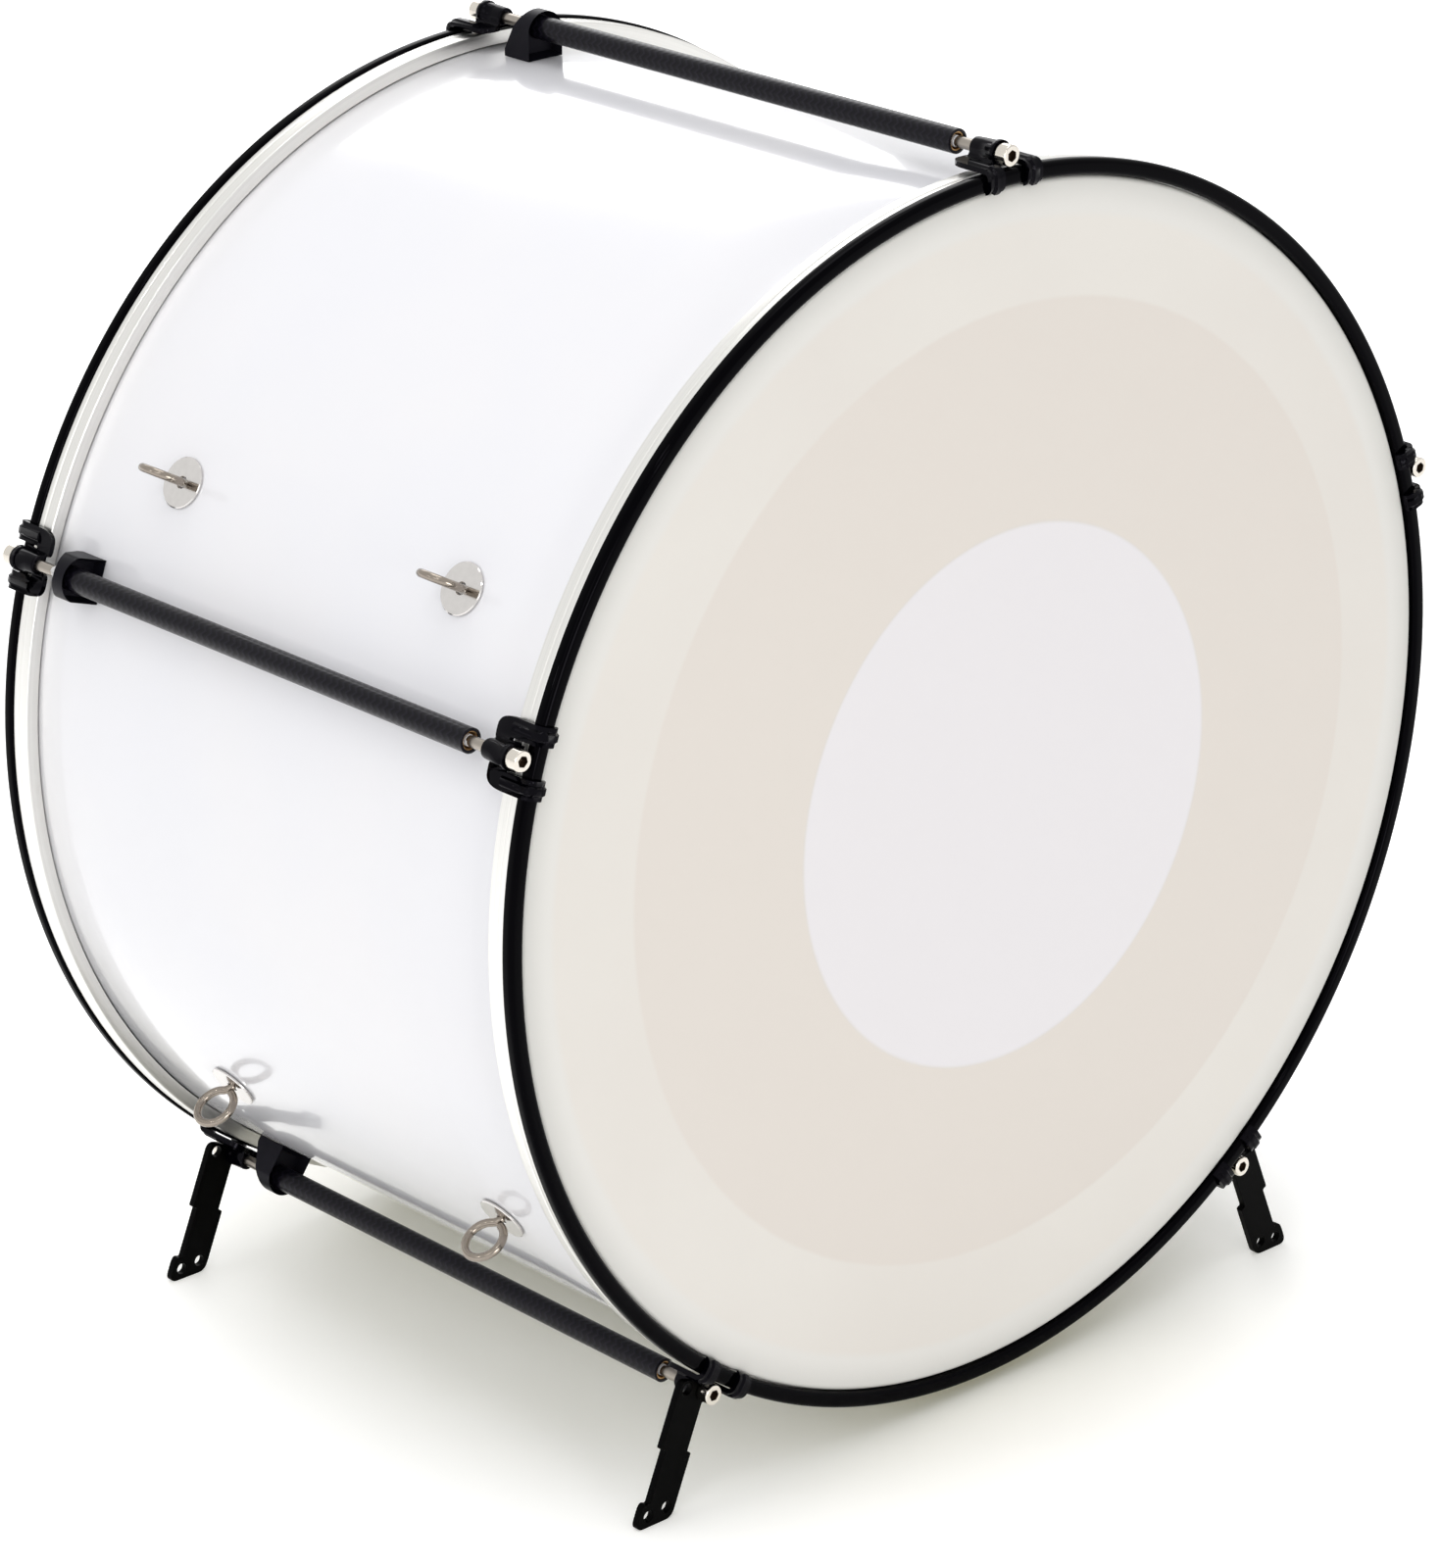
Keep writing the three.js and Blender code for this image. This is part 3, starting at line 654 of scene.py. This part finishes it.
# %% Helpers for copies and outlines
def turned_copy(source, name, step, front=False):
    """A copy of a piece, turned to the front end if asked, and by a number of tension sets."""
    only(source)
    bpy.ops.object.duplicate()
    copy = bpy.context.object
    copy.name = copy.data.name = name
    turn = Matrix.Rotation(radians(-step * set_step), 4, "Y")
    if front:
        turn = turn @ Matrix.Rotation(pi, 4, "Z")
    copy.matrix_world = (Matrix.Translation(centre) @ turn @ Matrix.Translation(-centre)
                         @ source.matrix_world)
    bpy.ops.object.transform_apply(location=True, rotation=True, scale=True)
    return copy


def fit_of(piece, node):
    """How far a piece's box is from its solid's box, in millimetres, at most."""
    points = [v.co for v in piece.data.vertices]
    low = Vector([min(p[i] for p in points) for i in range(3)])
    high = Vector([max(p[i] for p in points) for i in range(3)])
    solid_low, solid_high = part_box(node)
    return round(max(abs(x) for x in (*(low - solid_low), *(high - solid_high))) / mm, 2)


def report_fit(piece, node):
    print(piece.name, "fits its solid to", fit_of(piece, node), "mm")


def rounded(corners, steps=7):
    """An outline through (x, y) corners. A third number makes a corner a curve of that size."""
    line = []
    for i, (x, y, *size) in enumerate(corners):
        here = Vector((x, y))
        if not size:
            line.append(tuple(here))
            continue
        size = size[0]
        before, after = Vector(corners[i - 1][:2]), Vector(corners[(i + 1) % len(corners)][:2])
        start = here + (before - here).normalized() * min(size, (before - here).length / 2)
        stop = here + (after - here).normalized() * min(size, (after - here).length / 2)
        for k in range(steps + 1):
            t = k / steps
            line.append(tuple((1 - t) ** 2 * start + 2 * t * (1 - t) * here + t * t * stop))
    return line


def on_hoop(x, y, z):
    """A point at the top of the rear hoop: y out from its face, z out from its edge."""
    return Vector((x * mm, hoop_face + y * mm, axle + hoop_radius + z * mm))


# %% [markdown]
# ## Claws
# A claw is pressed from one steel plate. Two straps go over the hoop and hook round its front,
# each stiffened by a raised rib. Between the straps the plate is open for the screw's head,
# and a rolled barrel holds the screw. The two round lobes behind stiffen the plate. The plate
# starts as an outline filled and pulled up to its thickness. Each strap is pulled out of the
# plate's front edge and spun over the hoop's corner, so that plate and hook stay one surface.

# %% Model the plate with its hooks
side, mouth, barrel_side = 18.4, 8.4, 6.1  # half widths: plate, opening, barrel
slit, reach = -17.0, -27.3  # how far back the opening and the lobes run
under, over = 0.4, 3.2  # the plate's two faces, out from the hoop's edge
bend_round, hook_drop = 5.2, 3.2
bend = over - bend_round


def claw_plate(barrel_front):
    """The flat plate, with its two straps spun over the hoop's corner into hooks."""
    outline = rounded([
        (-side, bend), (-mouth, bend), (-mouth, slit, 1.2), (-barrel_side, slit, 1.2),
        (-barrel_side, barrel_front), (barrel_side, barrel_front), (barrel_side, slit, 1.2),
        (mouth, slit, 1.2), (mouth, bend), (side, bend), (side, reach, 12), (4.5, reach, 4),
        (4.5, reach + 5, 2), (-4.5, reach + 5, 2), (-4.5, reach, 4), (-side, reach, 12),
    ])
    plate = draw("claw_plate", [on_hoop(x, y, under) for x, y in outline])
    edit(plate)
    pull(0, 0, over - under)
    outward()
    front = on_hoop(0, bend, 0).y
    pick(lambda p, n: abs(p.y - front) < 0.01 * mm and n.y > 0.9)
    corner = on_hoop(0, bend, bend)
    bpy.ops.mesh.spin(steps=10, angle=pi / 2, center=corner, axis=(1, 0, 0))
    pull(0, 0, -hook_drop)
    corner = on_hoop(0, bend, bend - hook_drop)
    bpy.ops.mesh.spin(steps=9, angle=radians(80), center=corner, axis=(1, 0, 0))
    return plate


def raise_ribs(plate):
    """Cuts each strap along its rib, and pulls the rib's faces out, narrower at the top."""
    half, rear, tip, height = 2.7, -16.4, -9.6, 1.1
    outer_z, outer_y = on_hoop(0, 0, under + 1).z, on_hoop(0, over - 2.2, 0).y
    start, low = on_hoop(0, rear + 0.1, 0).y, on_hoop(0, 0, tip).z
    for way in (-1, 1):
        middle = way * (side + mouth) / 2
        for edge in (-half, half):
            edit(plate)
            bpy.ops.mesh.bisect(plane_co=on_hoop(middle + edge, 0, 0), plane_no=(1, 0, 0))
        edit(plate)
        bpy.ops.mesh.bisect(plane_co=on_hoop(0, rear, 0), plane_no=(0, 1, 0))
        left, right = (middle - half + 0.1) * mm, (middle + half - 0.1) * mm
        pick(lambda p, n: left < p.x < right and p.y > start and p.z > low
             and (n.z > 0.1 or n.y > 0.35) and (p.z > outer_z or p.y > outer_y))
        bpy.ops.mesh.extrude_region_shrink_fatten(
            TRANSFORM_OT_shrink_fatten={"value": height * mm})
        bpy.ops.transform.resize(value=(0.6, 1, 1), center_override=on_hoop(middle, 0, 0))
        bpy.ops.object.mode_set(mode="OBJECT")


# %% [markdown]
# The barrel is rolled up from the plate, so from the end it is an arch. It narrows a little
# towards the drum's middle, and its end is rounded over. A collar at its front takes the
# pull of the screw's head. The bore is cut last, through all of it, with a boolean.

# %% Model the barrel, and join it to the plate
screw_rise = 6.7  # how far a screw's axis is out from the hoop's edge
collar_radius, collar_length, bore = 6.8, 2.6, 3.3


def claw_barrel(barrel_front, with_collar):
    """The rolled arch over the screw, with a round collar at its front if asked."""
    flare = [(6.1, over + 1.6), (6.5, over + 0.5), (7.4, over - 0.6)]
    arch = [(-x, z) for x, z in reversed(flare)]
    arch += [(barrel_side * cos(radians(a)), screw_rise + barrel_side * sin(radians(a)))
             for a in range(180, -1, -12)]
    barrel = draw("claw_barrel", [on_hoop(x, barrel_front, z) for x, z in arch + flare])
    edit(barrel)
    for length, width in ((barrel_front + 20, 0.94), (5.2, 0.95), (0.7, 0.97), (0.3, 0.93)):
        pull(0, -length, 0)
        bpy.ops.transform.resize(value=(width, 1, width), center_override=on_hoop(0, 0, screw_rise))
    outward()
    if with_collar:
        middle = on_hoop(0, barrel_front - collar_length / 2, screw_rise)
        bpy.ops.mesh.primitive_cylinder_add(
            vertices=40, radius=collar_radius * mm, depth=collar_length * mm,
            rotation=(pi / 2, 0, 0), location=middle)
    bpy.ops.object.mode_set(mode="OBJECT")
    return barrel


def claw(barrel_front, with_collar):
    """One whole claw. Its bore runs from before the hoop to well behind the barrel."""
    plate = claw_plate(barrel_front)
    raise_ribs(plate)
    barrel = claw_barrel(barrel_front, with_collar)
    modify(plate, "BOOLEAN", operation="UNION", solver="EXACT", object=barrel, use_self=True)
    bpy.data.objects.remove(barrel)
    drill(plate, on_hoop(0, -17.5, screw_rise), bore, 45, use_self=True)
    return round_edges(plate, 0.6 * mm, angle=38)


plain_claw = claw(-8.5, True)
foot_claw = claw(-13.0, False)  # its barrel starts further back, which leaves room for a foot
for step, set_name in enumerate(set_names):
    for end in ("front", "rear"):
        source = foot_claw if set_name.startswith("low") else plain_claw
        name, node = f"claw_{end}_{set_name}_pressed", f"claw_{end}_{set_name}"
        copy = turned_copy(source, name, step, end == "front")
        settle(copy, name, claw_enamel, "black_enamel", "drum", node)
        report_fit(copy, node)
bpy.data.objects.remove(plain_claw)
bpy.data.objects.remove(foot_claw)

# %% [markdown]
# ## Screws
# The tension screws are cylinder-head socket screws of M6 size. The head and the shank are one
# turned shape, spun round the screw's own axis. The hexagon socket is cut with a boolean, and
# its walls get a dark brown painted shade. The thread is a real ridge that climbs one
# millimetre a turn, made with the Screw modifier, which sweeps a small triangle up and round.

# %% Model one screw
head_top, head_under, thread_start, screw_end = -0.9, -8.2, -39, -63.2  # from the hoop's face
head_radius, shank_radius, thread_core = 5.65, 3.05, 2.75
socket_radius, socket_depth = 3.1, 4.4


def model_screw():
    corner = 0.7
    points = [(0, head_top), (4.6, head_top),
              *arc((head_radius - corner, head_top - corner), corner, 90, 0, 3),
              (head_radius, head_top - 2 * corner), (head_radius, -7.9), (5.35, head_under),
              (shank_radius, head_under), (shank_radius, -38.4), (thread_core, thread_start),
              (thread_core, -62.6), (2.2, screw_end), (0, screw_end)]
    screw = draw("screw", [on_hoop(0, y, screw_rise + r) for r, y in points], filled=False)
    axis = on_hoop(0, 0, screw_rise)
    edit(screw)
    pick(lambda a, b: max(abs(a.z - axis.z), abs(b.z - axis.z)) < 0.01 * mm, "edges")
    bpy.ops.mesh.delete(type="EDGE")
    bpy.ops.mesh.select_all(action="SELECT")
    bpy.ops.mesh.spin(steps=36, angle=2 * pi, center=axis, axis=(0, 1, 0))
    outward(merge=0.01)
    drill(screw, on_hoop(0, head_top - socket_depth + 4.5, screw_rise), socket_radius, 9, sides=6)
    round_edges(screw, 0.12 * mm, segments=2, angle=50)
    for material in (bright_steel, painted_socket_shade):
        screw.data.materials.append(material)
    edit(screw)
    floor_y, wall = on_hoop(0, head_top - socket_depth - 0.2, 0).y, (socket_radius - 0.05) * mm
    pick(lambda p, n: p.y > floor_y and Vector((p.x - axis.x, p.z - axis.z)).length < wall)
    screw.active_material_index = 1
    bpy.ops.object.material_slot_assign()
    bpy.ops.object.mode_set(mode="OBJECT")
    return screw


def model_thread(length, pitch):
    """A ridge of triangular section that climbs round the shank."""
    start = on_hoop(0, thread_start, screw_rise)
    root, top = 2.7, 3.1
    ridge = draw("thread", [start + Vector((0, y * mm, z * mm)) for y, z in
                            ((0, root), (-0.42, top), (-0.54, top), (-0.94, root))], filled=False)
    only(ridge)
    bpy.context.scene.cursor.location = start
    bpy.ops.object.origin_set(type="ORIGIN_CURSOR")
    turns = int(length / pitch)
    modify(ridge, "SCREW", axis="Y", angle=2 * pi, screw_offset=-pitch * mm, iterations=turns,
           steps=14, render_steps=14, use_merge_vertices=True, merge_threshold=0.005 * mm)
    edit(ridge)
    outward()
    bpy.ops.object.mode_set(mode="OBJECT")
    bpy.ops.object.shade_smooth_by_angle(angle=radians(40))
    return ridge


screw = model_screw()
thread = model_thread(23.0, 1.0)
only(screw)
thread.select_set(True)
bpy.ops.object.join()
for step, set_name in enumerate(set_names):
    for end in ("front", "rear"):
        name, node = f"socket_screw_{end}_{set_name}", f"screw_{end}_{set_name}"
        copy = turned_copy(screw, name, step, end == "front")
        settle(copy, name, bright_steel, "polished_steel", node, node)
print("screw", len(screw.data.polygons), "faces, fits its solid to", fit_of(copy, node), "mm")
bpy.data.objects.remove(screw)

# %% [markdown]
# ## Rods
# Each rod is a stiff tube round a brass core, which takes a screw at each end. A cylinder with
# its UV map is a good start here, because the braid follows that map. Its ends are inset step
# by step, and the two inner faces are bridged, which opens the bore. The core's face steps down
# to its bore, as a turned part's does.

# %% Model a sleeve and its core
sleeve_start, sleeve_stop = -167.0, -167.0 + sleeve_length / mm
core_recess = 0.6


def tube(name, radius, start, stop, sides, lip):
    """A tube over the top screws. The lip lists (width, depth) steps from its edge inwards."""
    axis_z, middle = axle + screw_circle, (start + stop) / 2 * mm
    bpy.ops.object.select_all(action="DESELECT")
    bpy.ops.mesh.primitive_cylinder_add(
        vertices=sides, radius=radius * mm, depth=(stop - start) * mm, rotation=(pi / 2, 0, 0),
        location=(0, middle, axis_z))
    piece = bpy.context.object
    piece.name = name
    edit(piece)

    def on_axis(p):
        return (p - Vector((0, p.y, axis_z))).length < 0.1 * mm

    for width, depth in lip:
        for y in (start * mm, stop * mm):
            pick(lambda p, n: on_axis(p) and abs(p.y - y) < 0.3 * mm)
            bpy.ops.mesh.inset(thickness=width * mm, depth=depth * mm)
    pick(lambda p, n: on_axis(p) and abs(p.y - middle) > 10 * mm)
    bpy.ops.mesh.bridge_edge_loops()
    bpy.ops.object.mode_set(mode="OBJECT")
    return piece


sleeve = tube("sleeve", 6.6, sleeve_start, sleeve_stop, 48, [(0.3, 0.15), (1.2, 0.0)])
core = tube("core", 5.05, sleeve_start + core_recess, sleeve_stop, 40,
            [(0.15, 0.1), (0.55, 0.0), (0.1, -0.6)])
for piece in (sleeve, core):
    only(piece)
    bpy.ops.object.shade_smooth_by_angle(angle=radians(30))
rod_parts = (sleeve, "sleeve", woven, "woven_sleeve"), (core, "core", brass, "brass_core")
for step, set_name in enumerate(set_names):
    for source, kind, material, slot in rod_parts:
        node = f"rod_{kind}_{set_name}"
        copy = turned_copy(source, node + "_tube", step)
        settle(copy, node + "_tube", material, slot, "drum", node)
        report_fit(copy, node)
bpy.data.objects.remove(sleeve)
bpy.data.objects.remove(core)

# %% [markdown]
# ## Spacer blocks
# A moulded block holds each rod off the shell near the rear hoop. Seen from the end it is an
# arch on a foot that follows the shell. Its back slopes down to a low heel, and its front is
# hollow, as mouldings are. The arch is drawn and pulled to its length, the slope is cut off
# with one bisect, the front face is inset and pushed in, and the socket for the rod is cut
# with a boolean. Moulded edges are never sharp, so all of them get a small round.

# %% Model a block
block_front, block_rear, block_crown, arch_radius = 148.0, 168.0, 354.3, 12.63
slope_start, slope_top, heel_top = 156.0, block_crown + 0.3, 332.0
block_foot = 328.25  # the radius that the foot follows, just clear of the shell
block_wall, block_hollow = 2.4, 6
rod_socket, screw_bore = (6.75, 100, 159.0), (4.8, 100, 200)  # radius, start and stop


def model_block():
    foot = [(x, sqrt(block_foot ** 2 - x ** 2)) for x in (-12, -8, -4, 0, 4, 8, 12)]
    arch = [(x, block_crown - arch_radius + z)
            for x, z in arc((0, 0), arch_radius, 18.1, 161.9, 24)]
    block = draw("block", [(x * mm, block_front * mm, axle + z * mm) for x, z in foot + arch])
    edit(block)
    pull(0, block_rear - block_front, 0)
    outward()
    slope_normal = Vector((0, slope_top - heel_top, block_rear - slope_start)).normalized()
    bpy.ops.mesh.bisect(plane_co=(0, slope_start * mm, axle + slope_top * mm),
                        plane_no=slope_normal, use_fill=True, clear_outer=True)
    pick(lambda p, n: n.y < -0.99)
    bpy.ops.mesh.inset(thickness=block_wall * mm, depth=-block_hollow * mm)
    for radius, start, stop in (rod_socket, screw_bore):
        drill(block, (0, (start + stop) / 2 * mm, axle + screw_circle), radius, stop - start, 48)
    return round_edges(block, 0.7 * mm, angle=32)


block = model_block()
for step, set_name in enumerate(set_names):
    node = f"spacer_block_{set_name}"
    copy = turned_copy(block, node + "_moulded", step)
    settle(copy, node + "_moulded", moulded_black, "black_plastic", "drum", node)
    report_fit(copy, node)
bpy.data.objects.remove(block)

# %% [markdown]
# ## Feet
# A foot is a stepped plate that hangs on a screw and folds up along the hoop. Its outline is
# drawn from the screw's axis, leaning out, with round ears at its two ends. The four holes are
# cut through, and the edge is broken with a small bevel that catches the light.

# %% Model a foot
foot_lean, foot_drop, foot_thickness = radians(22.5), 65.7, 4.2
foot_y = hoop_face / mm + head_under - 0.3 - foot_thickness  # just clear of the screw's head
ear, ear_corner, small_corner = 6.3, 5, 1.2
knee, heel = 33.8, 39.2  # how far down the plate steps out, and how far out it ends
hole = 3.2


def model_foot(name, side, end):
    """A foot on the left (-1) or right (1), at the front (-1) or rear (1)."""
    low = radians(90 + 2 * set_step)
    hub = Vector((-side * screw_circle * cos(low), 0, axle + screw_circle * sin(low)))

    def place(out, down):
        return (side * (down * sin(foot_lean) + out * cos(foot_lean)),
                out * sin(foot_lean) - down * cos(foot_lean))

    def floor_at(out):
        return (foot_drop + out * sin(foot_lean)) / cos(foot_lean)

    heel_down = foot_drop - ear
    heel_out = heel * cos(foot_lean) - heel_down * sin(foot_lean)
    heel_along = heel * sin(foot_lean) + heel_down * cos(foot_lean)
    outer = heel_out + ear
    outline = rounded([(*place(out, down), size) for out, down, size in (
        (-ear, -4.6, ear_corner), (18.2, -4.6, ear_corner), (18.2, knee, small_corner),
        (15.2, knee, small_corner), (15.2, heel_along - ear, small_corner),
        (outer, heel_along - ear, ear_corner), (outer, floor_at(outer), ear),
        (-4, floor_at(-4), ear_corner), (-4, knee, small_corner), (-1, knee, small_corner),
        (-1, ear, small_corner), (-ear, ear, ear_corner))])
    foot = draw(name, [hub + Vector((x * mm, end * foot_y * mm, z * mm)) for x, z in outline])
    edit(foot)
    pull(0, end * foot_thickness, 0)
    outward()
    for x, z, radius in ((0, 0, hole + 0.05), (*place(12.6, 0), hole),
                         (*place(heel_out, heel_along), hole), (*place(2.3, 64.2), hole)):
        drill(foot, hub + Vector((x * mm, end * foot_y * mm, z * mm)), radius, 30)
    return round_edges(foot, 0.4 * mm, segments=2, angle=38)


for end_name, end in ends:
    for side_name, side in (("left", -1), ("right", 1)):
        node = f"foot_{end_name}_{side_name}"
        foot = model_foot(node + "_plate", side, end)
        settle(foot, node + "_plate", foot_coat, "black_steel", node, node)
        report_fit(foot, node)

# %% [markdown]
# ## Eye bolts
# Four eye bolts take the hooks of a carrying harness. Each is one steel wire: a straight shank
# through the shell, a short bend, and a ring that ends just beside its neck. A circle is
# pulled along this path: extruded for the shank, spun one way for the bend, and spun the
# other way for the ring. The wire's end is rounded off. A stamped washer lies under each.

# %% Model an eye bolt and its washer
wire_radius, eye_radius, eye_stand = 2.25, 11.0, 4.8
eye_places = {"front_upper": (150.75, -114.0), "rear_upper": (150.75, 107.9),
              "front_lower": (214.1, -120.5), "rear_lower": (214.1, 101.4)}  # degrees, along
eye_middle = shell_outside + eye_stand + eye_radius
nut_seat = shell_inside * cos(pi / 90) - 0.3 - 4


def above(y, z):
    """A point over the drum's axis, in millimetres from the drum's middle."""
    return Vector((0, y * mm, axle + z * mm))


def model_eye():
    neck = eye_radius * 0.52  # how far beside the shank the bend turns
    start, bend_at = nut_seat - 2, eye_middle - 1.428 * eye_radius
    bpy.ops.object.select_all(action="DESELECT")
    bpy.ops.mesh.primitive_circle_add(vertices=24, radius=wire_radius * mm, fill_type="NGON",
                                      location=above(0, start))
    eye = bpy.context.object
    edit(eye)
    pull(0, 0, bend_at - start)
    bpy.ops.mesh.spin(steps=8, angle=radians(70), center=above(neck, bend_at), axis=(1, 0, 0))
    bpy.ops.mesh.spin(steps=46, angle=radians(328), center=above(0, eye_middle), axis=(-1, 0, 0))
    outward(merge=0.01)
    return round_edges(eye, 0.5 * mm, angle=60)


def model_washer():
    section = [(3.1, 0.5), (3.3, 0.3), (13.5, 0.3), (13.9, 0.55), (14.0, 0.9), (13.9, 1.4),
               (13.4, 1.8), (3.5, 1.8), (3.1, 1.5)]
    washer = draw("washer", [above(0, shell_outside + z) + Vector((r * mm, 0, 0))
                             for r, z in section], filled=False)
    edit(washer)
    bpy.ops.mesh.spin(steps=64, angle=2 * pi, center=above(0, shell_outside), axis=(0, 0, 1))
    outward(merge=0.01)
    bpy.ops.object.mode_set(mode="OBJECT")
    bpy.ops.object.shade_smooth_by_angle(angle=radians(35))
    return washer


eye, washer = model_eye(), model_washer()
for name, (angle, along) in eye_places.items():
    for source, kind, material in ((eye, "bolt", polished_wire), (washer, "washer", stamped_steel)):
        node = f"eye_{kind}_{name}"
        copy = turned_copy(source, node + "_steel", (angle - 90) / set_step)
        copy.location.y = along * mm
        settle(copy, node + "_steel", material, "eye_steel", "drum", node)
        report_fit(copy, node)
bpy.data.objects.remove(eye)
bpy.data.objects.remove(washer)

# %% [markdown]
# ## Nuts inside the shell
# Each eye bolt is held by a flanged nut inside the shell. The nuts' solids already have the
# right shape, and nobody sees them from outside, so they stay as they are and only get a
# finish: the same polished steel as the wire.

# %% Give the nuts their finish
nuts = [node for name, node in nodes.items() if name.startswith("eye_nut")]
for nut in nuts:
    for slot in nut.material_slots:
        slot.material = polished_wire
print(len(nuts), "nuts have their finish")
